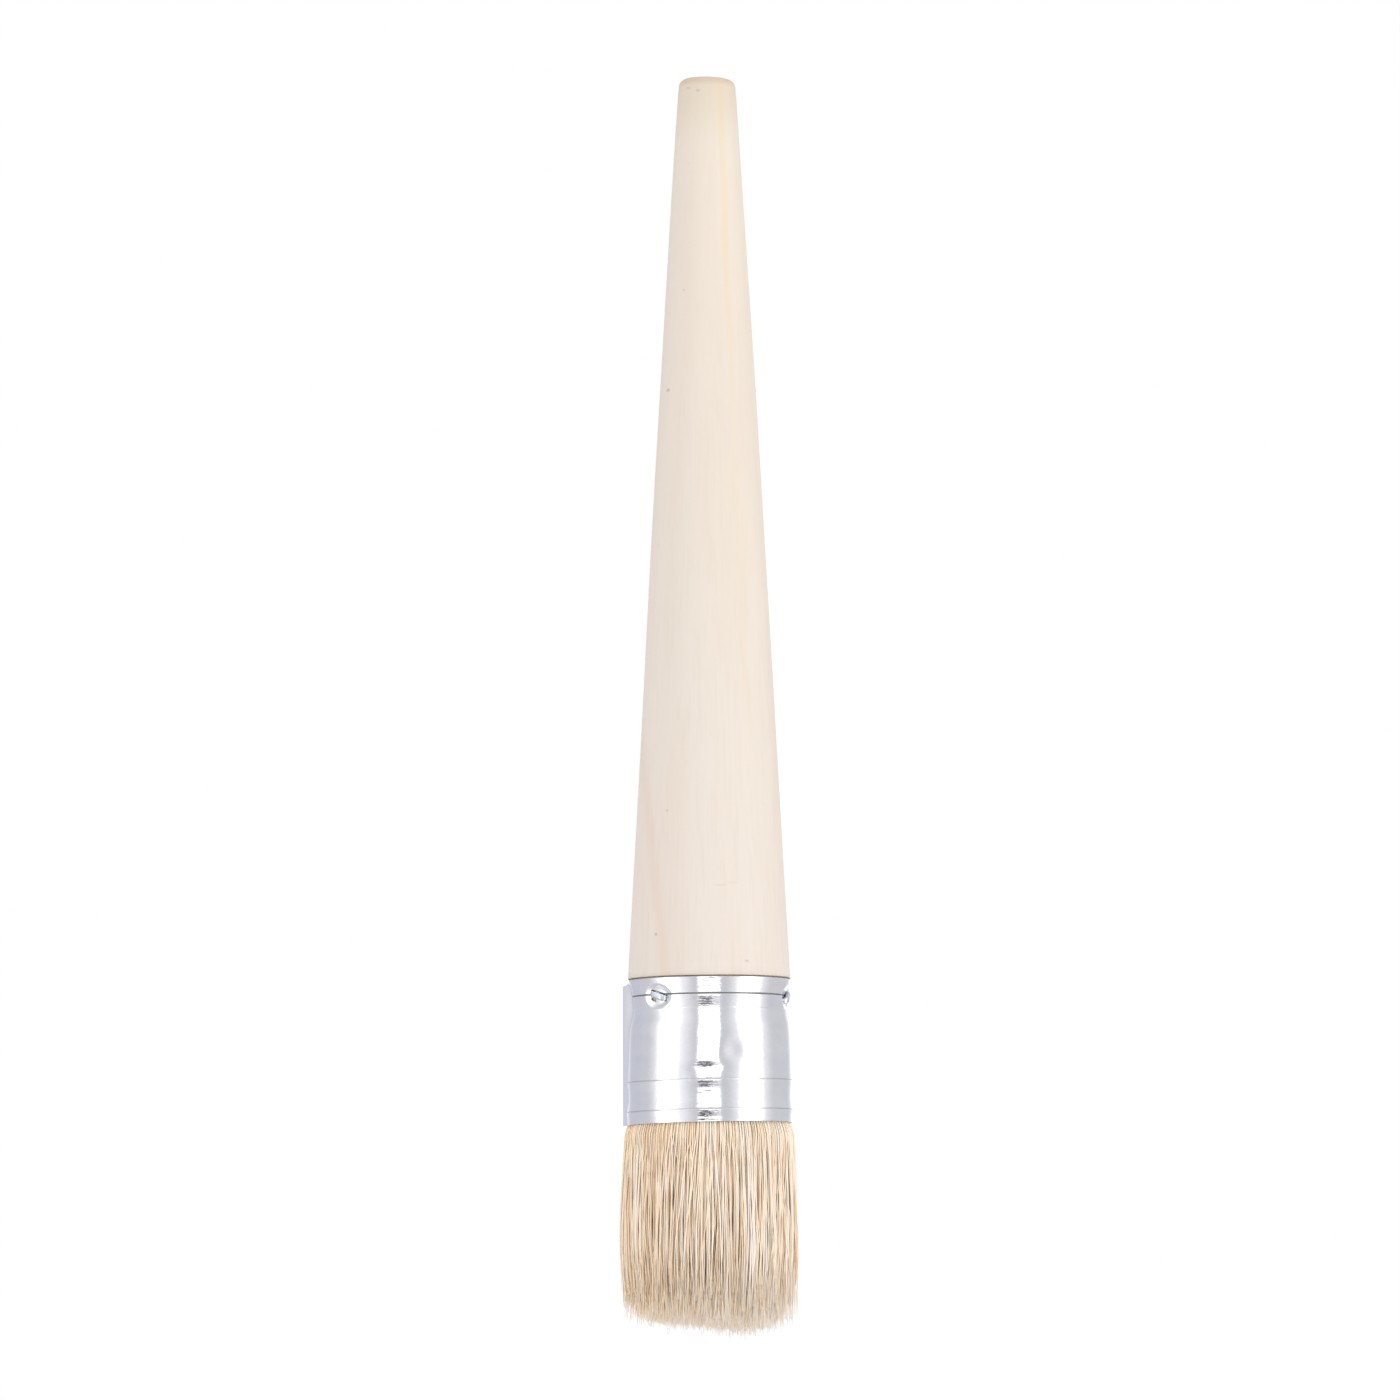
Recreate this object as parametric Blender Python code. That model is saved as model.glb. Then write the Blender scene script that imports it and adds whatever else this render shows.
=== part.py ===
"""Pastry brush: a turned wooden handle, a tinplate ferrule stapled round it, and a round head of bristles.

Metres, +Z up. The brush's axis is Z, handle up and bristles down, as it is held in use. The origin is on
that axis where a hand holds the handle. The front is -Y, and the ferrule's lock seam runs down its -X side.
"""

import math

import bmesh
import bpy
from mathutils import Matrix, Vector

MM = 0.001

# Heights along the brush
GRIP_ABOVE_RIM = 60.0 * MM
HANDLE_LENGTH = 160.3 * MM  # from the ferrule's rim to the butt
FERRULE_LENGTH = 25.4 * MM
BRISTLE_LENGTH = 37.4 * MM  # from the ferrule's mouth to the longest tips

Z_RIM = -GRIP_ABOVE_RIM
Z_BUTT = Z_RIM + HANDLE_LENGTH
Z_MOUTH = Z_RIM - FERRULE_LENGTH

CLEARANCE = 0.3 * MM  # between neighbouring solids

# Handle
BUTT_RADIUS = 4.95 * MM
BUTT_ROUNDING = 1.6 * MM
HANDLE_RADIUS = 14.38 * MM  # at the ferrule's rim
TAPER_POWER = 0.93  # just under 1, so that the taper is a little steeper near the butt
TENON_RADIUS = 12.4 * MM
TENON_LENGTH = 12.5 * MM  # below the rim
TENON_CHAMFER = 1.0 * MM

# Ferrule: one strip of tinplate, rolled round and closed with a lock seam. Depths are below its rim.
SHEET = 0.4 * MM
RIM_RADIUS = 14.45 * MM
CREASE_RADIUS = 13.8 * MM
CREASE_DEPTH = 2.95 * MM
BEAD_RISE = 0.28 * MM
BEAD_END = 5.35 * MM
SHOULDER_RADIUS = 14.3 * MM
SHOULDER_DEPTH = 8.6 * MM
MOUTH_RADIUS = 14.7 * MM
BODY_POWER = 0.6  # the body widens quickly under the shoulder and slowly towards the mouth
GROOVE_DEPTHS = (18.0 * MM, 22.9 * MM)
GROOVE_WIDTH = 2.0 * MM
GROOVE_SINK = 0.22 * MM
SEAM_ANGLE = 180.0  # degrees about Z from +X
SEAM_RADIUS = 15.22 * MM
SEAM_WIDTH = 3.4 * MM
SEAM_SIDE = 0.25 * MM  # how far each side of the fold slopes out

# Staples: three round the ferrule, through it into the tenon
STAPLE_DEPTH = 3.25 * MM
STAPLE_ANGLES = {"staple_front": 230.0, "staple_right": 350.0, "staple_back": 110.0}
STAPLE_TILTS = {"staple_front": -16.0, "staple_right": 28.0, "staple_back": 9.0}
CROWN_LENGTH = 3.6 * MM
CROWN_RADIUS = 14.35 * MM  # of the crown's outer face, from the brush's axis
WIRE_WIDTH = 1.0 * MM
WIRE_THICKNESS = 0.75 * MM
WIRE_BEND = 0.3 * MM  # inside radius
LEG_LENGTH = 5.5 * MM
DIMPLE_HALF_LENGTH = 3.3 * MM
DIMPLE_HALF_HEIGHT = 2.3 * MM
DIMPLE_SINK = 0.6 * MM

# Setting: cured resin that holds the bristles' roots, a cup under the tenon
SETTING_RADIUS = 13.5 * MM
SETTING_FLOOR = 3.0 * MM
SETTING_WALL = 0.6 * MM
SETTING_MOUTH = 4.2 * MM  # its lower edge, above the ferrule's mouth

# Bristles, in locks: a core, a middle ring and an outer ring. Drops are below the ferrule's mouth.
ROOT_RADIUS = SETTING_RADIUS - SETTING_WALL - CLEARANCE
NECK_RADIUS = 13.7 * MM
NECK_DROP = -1.5 * MM
LIP_RADIUS = 14.0 * MM
LIP_DROP = 0.3 * MM
HEAD_RADIUS = 15.0 * MM
HEAD_DROP = 1.0 * MM
BELLY_SWELL = 1.0 * MM
BELLY_DROP = 19.6 * MM
TIP_ROUNDING = 6.0 * MM  # how much shorter the outermost bristles are than the middle ones
TIP_POWER = 5
CORE_SHARE = 0.34  # of the head's radius
RINGS = {"middle": (CORE_SHARE, 0.67, 6), "outer": (0.67, 1.0, 12)}  # from, to, number of locks
DOME_STEPS = {"middle": 2, "outer": 4}

TURN = 360.0
STEP = 10.0  # degrees between the facets of a round piece

WOOD = ("wood", (0.80, 0.71, 0.58), 0.55, 0.0)
TINPLATE = ("tinplate", (0.80, 0.81, 0.84), 0.14, 1.0)
WIRE = ("staple_wire", (0.72, 0.74, 0.78), 0.22, 1.0)
RESIN = ("setting_resin", (0.42, 0.27, 0.12), 0.35, 0.0)
BRISTLE = ("bristle", (0.66, 0.52, 0.35), 0.5, 0.0)


def material(finish):
    """The Principled material of a finish, made once."""
    name, colour, roughness, metallic = finish
    made = bpy.data.materials.get(name) or bpy.data.materials.new(name)
    made.use_nodes = True
    shader = made.node_tree.nodes["Principled BSDF"]
    shader.inputs["Base Color"].default_value = (*colour, 1.0)
    shader.inputs["Roughness"].default_value = roughness
    shader.inputs["Metallic"].default_value = metallic
    return made


def add_object(name, shape, finish):
    """Puts a closed bmesh in the scene as a named, smooth-shaded object."""
    bmesh.ops.recalc_face_normals(shape, faces=shape.faces)
    mesh = bpy.data.meshes.new(name)
    shape.to_mesh(mesh)
    shape.free()
    mesh.shade_smooth()
    mesh.set_sharp_from_angle(angle=math.radians(35))
    mesh.materials.append(material(finish))
    made = bpy.data.objects.new(name, mesh)
    bpy.context.scene.collection.objects.link(made)
    return made


def full_turn(step=STEP):
    return [step * i for i in range(round(TURN / step))]


def revolve(outline, angles, is_ring, is_sector=False, push=None):
    """A bmesh of (radius, height) points turned about Z.

    A ring's outline is a closed loop clear of the axis. Otherwise it runs from the top face to the bottom
    one, and both are capped flat. A sector's two sides stand half a clearance off their radial planes.
    push(angle, radius, height) gives the radius to use at each point.
    """
    shape = bmesh.new()
    columns = []
    for i, angle in enumerate(angles):
        column = []
        for radius, height in outline:
            turned = math.radians(angle)
            if is_sector and i in (0, len(angles) - 1):
                inset = math.asin(CLEARANCE / 2 / radius)
                turned += inset if i == 0 else -inset
            out = push(angle, radius, height) if push else radius
            column.append(shape.verts.new((out * math.cos(turned), out * math.sin(turned), height)))
        columns.append(column)
    spans = len(columns) - 1 if is_sector else len(columns)
    rows = len(outline) if is_ring else len(outline) - 1
    for i in range(spans):
        left, right = columns[i], columns[(i + 1) % len(columns)]
        for j in range(rows):
            k = (j + 1) % len(outline)
            shape.faces.new((left[j], right[j], right[k], left[k]))
    if is_sector:
        shape.faces.new(columns[0])
        shape.faces.new(columns[-1])
    if not is_ring:
        shape.faces.new([column[0] for column in columns])
        shape.faces.new([column[-1] for column in columns])
    return shape


def smooth_step(share):
    share = min(max(share, 0.0), 1.0)
    return share * share * (3 - 2 * share)


# Handle


def handle_outline():
    """From the butt down the taper to the shoulder, then the tenon inside the ferrule."""
    points = []
    corner_centre = BUTT_RADIUS - BUTT_ROUNDING
    for i in range(5):
        turn = math.pi / 2 * (1 - i / 4)
        points.append(
            (
                corner_centre + BUTT_ROUNDING * math.cos(turn),
                Z_BUTT - BUTT_ROUNDING * (1 - math.sin(turn)),
            )
        )
    taper_top = Z_BUTT - BUTT_ROUNDING
    taper_bottom = Z_RIM + CLEARANCE
    for share in (0.03, 0.1, 0.2, 0.35, 0.5, 0.65, 0.8, 1.0):
        radius = BUTT_RADIUS + (HANDLE_RADIUS - BUTT_RADIUS) * share**TAPER_POWER
        points.append((radius, taper_top + (taper_bottom - taper_top) * share))
    points.append((TENON_RADIUS, taper_bottom))
    points.append((TENON_RADIUS, Z_RIM - TENON_LENGTH + TENON_CHAMFER))
    points.append((TENON_RADIUS - TENON_CHAMFER, Z_RIM - TENON_LENGTH))
    return points


# Ferrule


def ferrule_radius(depth):
    """Outer radius of the sheet at a depth below the rim, apart from the seam and the dimples."""
    if depth <= CREASE_DEPTH:
        radius = RIM_RADIUS + (CREASE_RADIUS - RIM_RADIUS) * depth / CREASE_DEPTH
    elif depth <= BEAD_END:
        along = (depth - CREASE_DEPTH) / (BEAD_END - CREASE_DEPTH)
        radius = CREASE_RADIUS + BEAD_RISE * math.sin(math.pi * along)
    elif depth <= SHOULDER_DEPTH:
        along = (depth - BEAD_END) / (SHOULDER_DEPTH - BEAD_END)
        radius = CREASE_RADIUS + (SHOULDER_RADIUS - CREASE_RADIUS) * smooth_step(along)
    else:
        along = (depth - SHOULDER_DEPTH) / (FERRULE_LENGTH - SHOULDER_DEPTH)
        radius = SHOULDER_RADIUS + (MOUTH_RADIUS - SHOULDER_RADIUS) * along**BODY_POWER
    for groove in GROOVE_DEPTHS:
        off = abs(depth - groove) / GROOVE_WIDTH
        if off < 0.5:
            radius -= GROOVE_SINK * math.cos(math.pi * off) ** 2
    return radius


def ferrule_depths():
    """The depths at which the sheet's outline has a point."""
    depths = [0.0, CREASE_DEPTH / 2, CREASE_DEPTH]
    depths += [CREASE_DEPTH + (BEAD_END - CREASE_DEPTH) * i / 4 for i in (1, 2, 3, 4)]
    depths += [BEAD_END + (SHOULDER_DEPTH - BEAD_END) * i / 3 for i in (1, 2, 3)]
    depths += [12.0 * MM]
    for groove in GROOVE_DEPTHS:
        depths += [groove + GROOVE_WIDTH * share for share in (-0.5, -0.25, 0.0, 0.25, 0.5)]
    return depths + [FERRULE_LENGTH]


def ferrule_outline():
    depths = ferrule_depths()
    outer = [(ferrule_radius(depth), Z_RIM - depth) for depth in depths]
    inner = [(radius - SHEET, height) for radius, height in reversed(outer)]
    return outer + inner


def angle_between(one, other):
    """Degrees from one angle to the other, the short way."""
    return (other - one + TURN / 2) % TURN - TURN / 2


def seam_edges():
    """Degrees off the seam's middle at the top and at the foot of its sloping sides."""
    top = math.degrees(SEAM_WIDTH / 2 / SEAM_RADIUS)
    return top, top + math.degrees(SEAM_SIDE / SEAM_RADIUS)


def ferrule_angles():
    """Every step round, with finer ones across each dimple and at the edges of the seam."""
    angles = set(full_turn())
    for staple in STAPLE_ANGLES.values():
        spread = math.degrees(DIMPLE_HALF_LENGTH / CREASE_RADIUS)
        angles = {angle for angle in angles if abs(angle_between(angle, staple)) > spread + 1}
        angles |= {(staple + spread * i / 4) % TURN for i in range(-4, 5)}
    top, foot = seam_edges()
    angles = {angle for angle in angles if abs(angle_between(angle, SEAM_ANGLE)) > foot + 1}
    return sorted(angles | {SEAM_ANGLE + off for off in (-foot, -top, 0.0, top, foot)})


def ferrule_push(angle, radius, height):
    """Sinks the sheet in the three dimples, and raises its outer side along the lock seam."""
    depth = Z_RIM - height
    is_outer = radius > ferrule_radius(depth) - SHEET / 2
    if is_outer and abs(angle_between(angle, SEAM_ANGLE)) <= seam_edges()[0] + 0.01:
        return SEAM_RADIUS
    for staple in STAPLE_ANGLES.values():
        along = math.radians(angle_between(angle, staple)) * CREASE_RADIUS / DIMPLE_HALF_LENGTH
        down = (depth - STAPLE_DEPTH) / DIMPLE_HALF_HEIGHT
        off = math.hypot(along, down)
        if off < 1:
            radius -= DIMPLE_SINK * smooth_step(2.2 * (1 - off))
    return radius


# Staples


def staple_place(name):
    """From the staple's own axes (along its crown, along the brush, outwards) to the brush's."""
    turn = math.radians(STAPLE_ANGLES[name])
    outwards = Vector((math.cos(turn), math.sin(turn), 0.0))
    up = Vector((0.0, 0.0, 1.0))
    along = up.cross(outwards)
    axes = Matrix((along, up, outwards)).transposed().to_4x4()
    axes.translation = up * (Z_RIM - STAPLE_DEPTH)
    return axes @ Matrix.Rotation(math.radians(STAPLE_TILTS[name]), 4, "Z")


def staple_sections():
    """Pairs of (along, outwards) points, outside and inside the wire, from one leg's point to the other's."""
    half = CROWN_LENGTH / 2
    tip = CROWN_RADIUS - LEG_LENGTH
    bend = WIRE_BEND + WIRE_THICKNESS
    pairs = [((-half, tip), (-half + WIRE_THICKNESS, tip + WIRE_THICKNESS))]
    for side, turns in ((-1, (180, 150, 120, 90)), (1, (90, 60, 30, 0))):
        centre = Vector((side * (half - bend), CROWN_RADIUS - bend))
        for turn in turns:
            ray = Vector((math.cos(math.radians(turn)), math.sin(math.radians(turn))))
            pairs.append((centre + ray * bend, centre + ray * WIRE_BEND))
    pairs.append(((half, tip), (half - WIRE_THICKNESS, tip + WIRE_THICKNESS)))
    return pairs


def staple(name):
    """A wire bent into a crown and two chisel-pointed legs."""
    shape = bmesh.new()
    place = staple_place(name)
    sections = []
    for outside, inside in staple_sections():
        corners = []
        for (along, out), side in ((outside, -1), (outside, 1), (inside, 1), (inside, -1)):
            corners.append(shape.verts.new(place @ Vector((along, side * WIRE_WIDTH / 2, out))))
        sections.append(corners)
    for first, second in zip(sections, sections[1:]):
        for i in range(4):
            shape.faces.new((first[i], first[i - 1], second[i - 1], second[i]))
    shape.faces.new(sections[0])
    shape.faces.new(sections[-1])
    return add_object(name, shape, WIRE)


def leg_cutter():
    """The slots that the staples' legs need, clear of the wire all round, as one cutting tool."""
    shape = bmesh.new()
    low = CROWN_RADIUS - LEG_LENGTH - CLEARANCE
    high = CROWN_RADIUS + 2 * MM
    for name in STAPLE_ANGLES:
        for side in (-1, 1):
            middle = side * (CROWN_LENGTH - WIRE_THICKNESS) / 2
            size = (WIRE_THICKNESS + 2 * CLEARANCE, WIRE_WIDTH + 2 * CLEARANCE, high - low)
            place = (
                staple_place(name)
                @ Matrix.Translation((middle, 0.0, (low + high) / 2))
                @ Matrix.Diagonal((*size, 1.0))
            )
            bmesh.ops.create_cube(shape, size=1.0, matrix=place)
    cutter = add_object("leg_cutter", shape, WIRE)
    cutter.hide_render = True
    cutter.display_type = "WIRE"
    return cutter


def cut(piece, cutter):
    slots = piece.modifiers.new("leg slots", "BOOLEAN")
    slots.operation = "DIFFERENCE"
    slots.solver = "EXACT"
    slots.object = cutter


# Bristles and their setting


def head_radius(drop):
    """Radius of the whole head of bristles at a drop below the ferrule's mouth."""
    if drop < BELLY_DROP:
        return HEAD_RADIUS + BELLY_SWELL * math.sin(math.pi / 2 * drop / BELLY_DROP)
    return HEAD_RADIUS + BELLY_SWELL


def tip_drop(share):
    """Drop of the tips at a share of the head's radius."""
    return BRISTLE_LENGTH - TIP_ROUNDING * share**TIP_POWER


def side_of_lock(share):
    """(radius, height) points down a surface of the head at a share of its radius, roots to tips."""
    root_drop = -(FERRULE_LENGTH - TENON_LENGTH - SETTING_FLOOR - 2 * CLEARANCE)
    radii = [
        (ROOT_RADIUS, root_drop),
        (ROOT_RADIUS, -SETTING_MOUTH),
        (NECK_RADIUS, NECK_DROP),
        (LIP_RADIUS, LIP_DROP),
    ]
    belly_end = tip_drop(share)
    for step in (0.0, 0.25, 0.55, 1.0):
        drop = HEAD_DROP + (belly_end - HEAD_DROP) * step
        radii.append((head_radius(drop), drop))
    return [(radius * share, Z_MOUTH - drop) for radius, drop in radii]


def lock_outline(ring):
    """The closed outline of a lock: down its inner side, along its domed tips and up its outer side."""
    inner, outer, _ = RINGS[ring]
    inside = side_of_lock(inner)
    outside = side_of_lock(outer)
    inside = [(radius + CLEARANCE / 2, height) for radius, height in inside]
    if ring != "outer":
        outside = [(radius - CLEARANCE / 2, height) for radius, height in outside]
    dome = []
    for i in range(1, DOME_STEPS[ring]):
        share = inner + (outer - inner) * i / DOME_STEPS[ring]
        drop = tip_drop(share)
        dome.append((head_radius(drop) * share, Z_MOUTH - drop))
    return inside + dome + outside[::-1]


def setting():
    """A cup round the roots, which fills the ferrule under the tenon."""
    top = Z_RIM - TENON_LENGTH - CLEARANCE
    inside = SETTING_RADIUS - SETTING_WALL
    outline = [
        (SETTING_RADIUS, top),
        (SETTING_RADIUS, Z_MOUTH + SETTING_MOUTH),
        (inside, Z_MOUTH + SETTING_MOUTH),
        (inside, top - SETTING_FLOOR),
    ]
    return add_object("resin_setting", revolve(outline, full_turn(), is_ring=False), RESIN)


def lock_name(ring, number):
    return f"bristles_{ring}_{number:02d}"


def bristle_locks():
    core = [(radius - CLEARANCE / 2, height) for radius, height in side_of_lock(CORE_SHARE)]
    add_object(lock_name("core", 1), revolve(core, full_turn(2 * STEP), is_ring=False), BRISTLE)
    for ring, (_, _, count) in RINGS.items():
        width = TURN / count
        steps = round(width / STEP)
        for number in range(count):
            angles = [width * number + STEP * i for i in range(steps + 1)]
            shape = revolve(lock_outline(ring), angles, is_ring=True, is_sector=True)
            add_object(lock_name(ring, number + 1), shape, BRISTLE)


def main():
    for old in list(bpy.data.objects):
        bpy.data.objects.remove(old)
    cutter = leg_cutter()
    handle = add_object("handle", revolve(handle_outline(), full_turn(), is_ring=False), WOOD)
    cut(handle, cutter)
    shape = revolve(ferrule_outline(), ferrule_angles(), is_ring=True, push=ferrule_push)
    ferrule = add_object("ferrule", shape, TINPLATE)
    cut(ferrule, cutter)
    for name in STAPLE_ANGLES:
        staple(name)
    setting()
    bristle_locks()


main()
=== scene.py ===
"""The looks of a pastry brush: turned pale wood, a tinplate ferrule, wire staples and hog bristles.

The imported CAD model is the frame. Every piece here stands for one of its nodes, in the same place.
Metres, +Z up. The brush's axis is Z, its front is -Y, and the ferrule's lock seam runs down its
-X side. Angles are in degrees, and colours are linear.
"""

import math

import bmesh
import bpy
import numpy as np
from mathutils import Matrix, Vector


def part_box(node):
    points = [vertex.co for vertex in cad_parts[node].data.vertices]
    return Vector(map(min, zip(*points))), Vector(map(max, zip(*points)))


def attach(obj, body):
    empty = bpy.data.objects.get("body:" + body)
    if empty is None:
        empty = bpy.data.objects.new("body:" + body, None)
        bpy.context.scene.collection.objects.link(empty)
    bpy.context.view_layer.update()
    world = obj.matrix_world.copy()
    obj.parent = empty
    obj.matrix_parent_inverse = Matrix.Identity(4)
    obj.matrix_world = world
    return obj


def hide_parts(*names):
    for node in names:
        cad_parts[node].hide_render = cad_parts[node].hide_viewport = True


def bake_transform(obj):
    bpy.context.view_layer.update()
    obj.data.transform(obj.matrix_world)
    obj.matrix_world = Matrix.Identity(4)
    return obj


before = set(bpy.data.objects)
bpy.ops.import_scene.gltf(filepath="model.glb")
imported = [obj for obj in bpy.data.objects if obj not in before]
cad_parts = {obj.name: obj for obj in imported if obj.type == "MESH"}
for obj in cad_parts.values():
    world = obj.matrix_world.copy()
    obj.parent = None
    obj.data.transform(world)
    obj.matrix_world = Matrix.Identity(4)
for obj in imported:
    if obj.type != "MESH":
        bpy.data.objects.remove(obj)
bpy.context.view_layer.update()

MM = 0.001

# Heights, from the frame
Z_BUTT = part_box("handle")[1].z
Z_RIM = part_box("ferrule")[1].z
Z_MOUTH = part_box("ferrule")[0].z
FERRULE_LENGTH = Z_RIM - Z_MOUTH
CAD_TENON_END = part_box("handle")[0].z


# Helpers for meshes


def smooth(share):
    """Smooth step of a number or an array, 0 to 1."""
    share = np.clip(share, 0.0, 1.0)
    return share * share * (3 - 2 * share)


def direction(angle):
    """Cosine and sine of an angle."""
    return math.cos(math.radians(angle)), math.sin(math.radians(angle))


def metres(values):
    """Lengths that are given in mm."""
    return [value * MM for value in values]


def mesh_object(name, points, faces, materials, indices=None):
    """A smooth-shaded object from arrays of points and of faces, which all have as many corners."""
    mesh = bpy.data.meshes.new(name)
    mesh.vertices.add(len(points))
    mesh.vertices.foreach_set("co", np.asarray(points, np.float32).ravel())
    corners = faces.shape[1]
    mesh.loops.add(faces.size)
    mesh.loops.foreach_set("vertex_index", faces.ravel().astype(np.int32))
    mesh.polygons.add(len(faces))
    mesh.polygons.foreach_set("loop_start", np.arange(0, faces.size, corners, dtype=np.int32))
    for made in materials:
        mesh.materials.append(made)
    if indices is not None:
        mesh.polygons.foreach_set("material_index", indices.astype(np.int32))
    mesh.update(calc_edges=True)
    mesh.validate()
    mesh.shade_smooth()
    made = bpy.data.objects.new(name, mesh)
    bpy.context.scene.collection.objects.link(made)
    return made


def lattice_faces(columns, rows, rows_close):
    """Quads of a lattice whose columns go all the way round: its point (i, j) is i * rows + j."""
    i = np.arange(columns)[:, None]
    j = np.arange(rows if rows_close else rows - 1)[None, :]
    right = (i + 1) % columns
    below = (j + 1) % rows
    quads = np.stack(
        [i * rows + j, i * rows + below, right * rows + below, right * rows + j], axis=-1
    )
    return quads.reshape(-1, 4)


def close_ends(made):
    """Fills the open ends of a mesh and turns all its faces outwards."""
    shape = bmesh.new()
    shape.from_mesh(made.data)
    rims = [edge for edge in shape.edges if edge.is_boundary]
    bmesh.ops.holes_fill(shape, edges=rims, sides=0)
    bmesh.ops.recalc_face_normals(shape, faces=shape.faces)
    shape.to_mesh(made.data)
    shape.free()


def turned(angles, radii, heights):
    """Points at angles about Z. The arrays broadcast to (columns, rows)."""
    around = np.radians(angles)
    radii, heights, around = np.broadcast_arrays(radii, heights, around)
    return np.stack([radii * np.cos(around), radii * np.sin(around), heights], axis=-1)


def angle_between(one, other):
    """From one angle to another, the short way."""
    return (other - one + 180.0) % 360.0 - 180.0


def adopt(piece, body, node):
    """Makes a piece stand for a CAD node and move with its body."""
    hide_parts(node)
    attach(piece, body)


# Helpers for materials


class Graph:
    """Adds nodes to a material or a world. Inputs take numbers, colours or other nodes' outputs."""

    def __init__(self, tree):
        self.tree = tree

    def add(self, kind, inputs=None, **settings):
        made = self.tree.nodes.new(kind)
        for key, value in settings.items():
            setattr(made, key, value)
        for key, value in (inputs or {}).items():
            self.feed(made.inputs[key], value)
        return made

    def feed(self, socket, value):
        if isinstance(value, bpy.types.NodeSocket):
            self.tree.links.new(value, socket)
        else:
            socket.default_value = value

    def math(self, operation, *values):
        made = self.add("ShaderNodeMath", dict(enumerate(values)), operation=operation)
        return made.outputs[0]

    def total(self, one, other):
        return self.math("ADD", one, other)

    def product(self, one, other):
        return self.math("MULTIPLY", one, other)

    def gap(self, one, other):
        """How far apart two values are."""
        return self.math("ABSOLUTE", self.math("SUBTRACT", one, other))

    def step(self, value, low, high, to_low=0.0, to_high=1.0):
        """Smooth step from to_low at low to to_high at high."""
        inputs = {
            "Value": value,
            "From Min": low,
            "From Max": high,
            "To Min": to_low,
            "To Max": to_high,
        }
        made = self.add("ShaderNodeMapRange", inputs, interpolation_type="SMOOTHSTEP")
        return made.outputs["Result"]

    def mix(self, share, one, other):
        inputs = {"Factor": share, 6: one, 7: other}
        return self.add("ShaderNodeMix", inputs, data_type="RGBA").outputs[2]

    def vector(self, operation, *values):
        return self.add("ShaderNodeVectorMath", dict(enumerate(values)), operation=operation)

    def noise(self, place, scale, detail=3.0, roughness=0.5, distortion=0.0):
        """Noise in space. Its scale is in features per metre along each axis."""
        stretched = self.add("ShaderNodeMapping", {"Vector": place, "Scale": scale})
        inputs = {
            "Vector": stretched.outputs["Vector"],
            "Scale": 1.0,
            "Detail": detail,
            "Roughness": roughness,
            "Distortion": distortion,
        }
        return self.add("ShaderNodeTexNoise", inputs).outputs["Fac"]

    def parts(self, vector):
        return self.add("ShaderNodeSeparateXYZ", {"Vector": vector}).outputs

    def bump(self, height, distance, strength, under=None):
        """A normal that follows a height, over another bump if there is one under it."""
        inputs = {"Height": height, "Distance": distance, "Strength": strength}
        if under is not None:
            inputs["Normal"] = under
        return self.add("ShaderNodeBump", inputs).outputs["Normal"]


def new_material(name):
    """A material with its graph, its shader, and each point's place in the object, in metres."""
    made = bpy.data.materials.new(name)
    made.use_nodes = True
    graph = Graph(made.node_tree)
    shader = made.node_tree.nodes["Principled BSDF"]
    place = graph.add("ShaderNodeTexCoord").outputs["Object"]
    return made, graph, shader, place


def rgb(red, green, blue):
    return (red, green, blue, 1.0)


# Wood. Its textures' scales are in features per metre along x, y and z.

WOOD_COLOUR = rgb(0.718, 0.650, 0.590)
BAND_COLOUR = rgb(0.695, 0.615, 0.55)
BAND_SCALE = (120, 120, 6)
FIBRE_COLOUR = rgb(0.62, 0.538, 0.46)
FIBRE_SCALE = (1500, 1500, 45)
MOTTLE_COLOUR = rgb(0.735, 0.675, 0.61)
MOTTLE_SCALE = (300, 300, 90)
PORE_COLOUR = rgb(0.54, 0.42, 0.32)
PORE_SCALE = (1100, 1100, 260)
YELLOWED_COLOUR = rgb(0.712, 0.644, 0.548)
VEIN_COLOUR = rgb(0.74, 0.61, 0.425)
VEIN_X = 5.1 * MM  # at z = 0
VEIN_SLOPE = -0.038
VEIN_HALF_WIDTH = 0.9 * MM
VEIN_WANDER = 1.8 * MM
VEIN_WANDER_SCALE = (0, 0, 22)
PINK_COLOUR = rgb(0.70, 0.53, 0.445)
PINK_X = -13.7 * MM
PINK_SLOPE = -0.1
PINK_HALF_WIDTH = 1.5 * MM
PINK_STRENGTH = 0.35
STREAK_CORE = 0.1 * MM  # half the width of a streak's full colour
SPECK_COLOUR = rgb(0.39, 0.28, 0.20)
SPECK_CORE = 0.35  # share of a speck's size that has its full colour
SPECKS = (  # place and half extents in mm, and strength
    ((-7.0, -5.5, 44.0), (0.4, 4, 0.4), 0.6),
    ((-4.2, -6.5, 61.6), (0.3, 4, 0.3), 0.3),
    ((-3.3, -3.6, 98.0), (0.5, 4, 0.3), 0.5),
    ((-1.6, -4.6, 97.4), (0.5, 4, 0.4), 0.6),
    ((-9.3, -10.0, -52.5), (0.3, 6, 0.4), 0.6),
    ((-7.3, -11.0, -30.8), (0.3, 6, 0.3), 0.4),
    ((6.6, -12.7, -57.3), (0.5, 6, 0.3), 0.35),
    ((2.1, -13.6, -44.1), (1.3, 6, 0.2), 0.14),  # two halves of a scratch across the grain
    ((4.1, -13.1, -43.6), (1.2, 6, 0.2), 0.12),
)
BUTT_DARKER_COLOUR = rgb(0.62, 0.53, 0.405)
END_GRAIN_COLOUR = rgb(0.51, 0.405, 0.31)
# Painted shade on the wood just above the ferrule's rim
RIM_SHADE_COLOUR = rgb(0.57, 0.45, 0.36)
RIM_SHADE_STRENGTH = 0.35


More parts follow.
